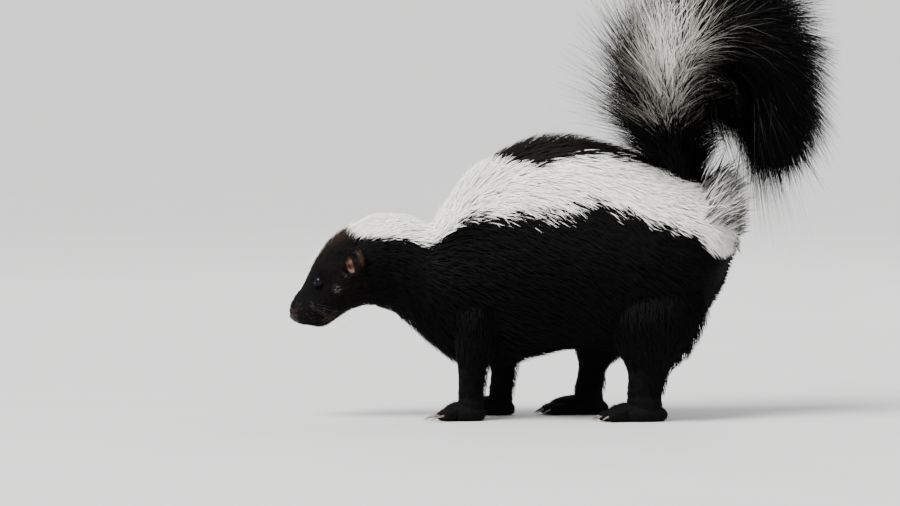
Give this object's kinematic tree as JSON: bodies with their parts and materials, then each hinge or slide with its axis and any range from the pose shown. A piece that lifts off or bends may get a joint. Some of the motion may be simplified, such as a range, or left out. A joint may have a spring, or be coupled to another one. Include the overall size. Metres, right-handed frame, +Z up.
{
  "type": "striped skunk model",
  "caption": "Life-size still model of a striped skunk standing with its head low and its plumed tail raised, white stripes along a black coat.",
  "frame": {"origin": "middle of the model's box on the floor, under the belly", "axes": "+X from nose to tail, +Y to the animal's right side, +Z up"},
  "size_m": [0.4312, 0.1502, 0.3682],
  "materials": {
    "black_coat": "long glossy black fur",
    "white_coat": "long creamy white fur",
    "tail_coat": "long coarse black and white mixed fur",
    "nose_leather": "bare damp skin",
    "ear_skin": "thin bare skin with fine hair",
    "eye": "wet gloss"
  },
  "bodies": {
    "root": {"head": "black_coat", "nose": "nose_leather", "ear_left": "ear_skin", "ear_right": "ear_skin", "eye_left": "eye", "eye_right": "eye", "neck": "black_coat", "torso": "black_coat", "leg_front_left": "black_coat", "leg_front_right": "black_coat", "leg_hind_left": "black_coat", "leg_hind_right": "black_coat", "paw_front_left": "black_coat", "paw_front_right": "black_coat", "paw_hind_left": "black_coat", "paw_hind_right": "black_coat", "nape_patch": "white_coat", "stripe_left": "white_coat", "stripe_right": "white_coat", "tail_base": "tail_coat", "tail_middle": "tail_coat", "tail_tip": "tail_coat"}
  },
  "joints": []
}
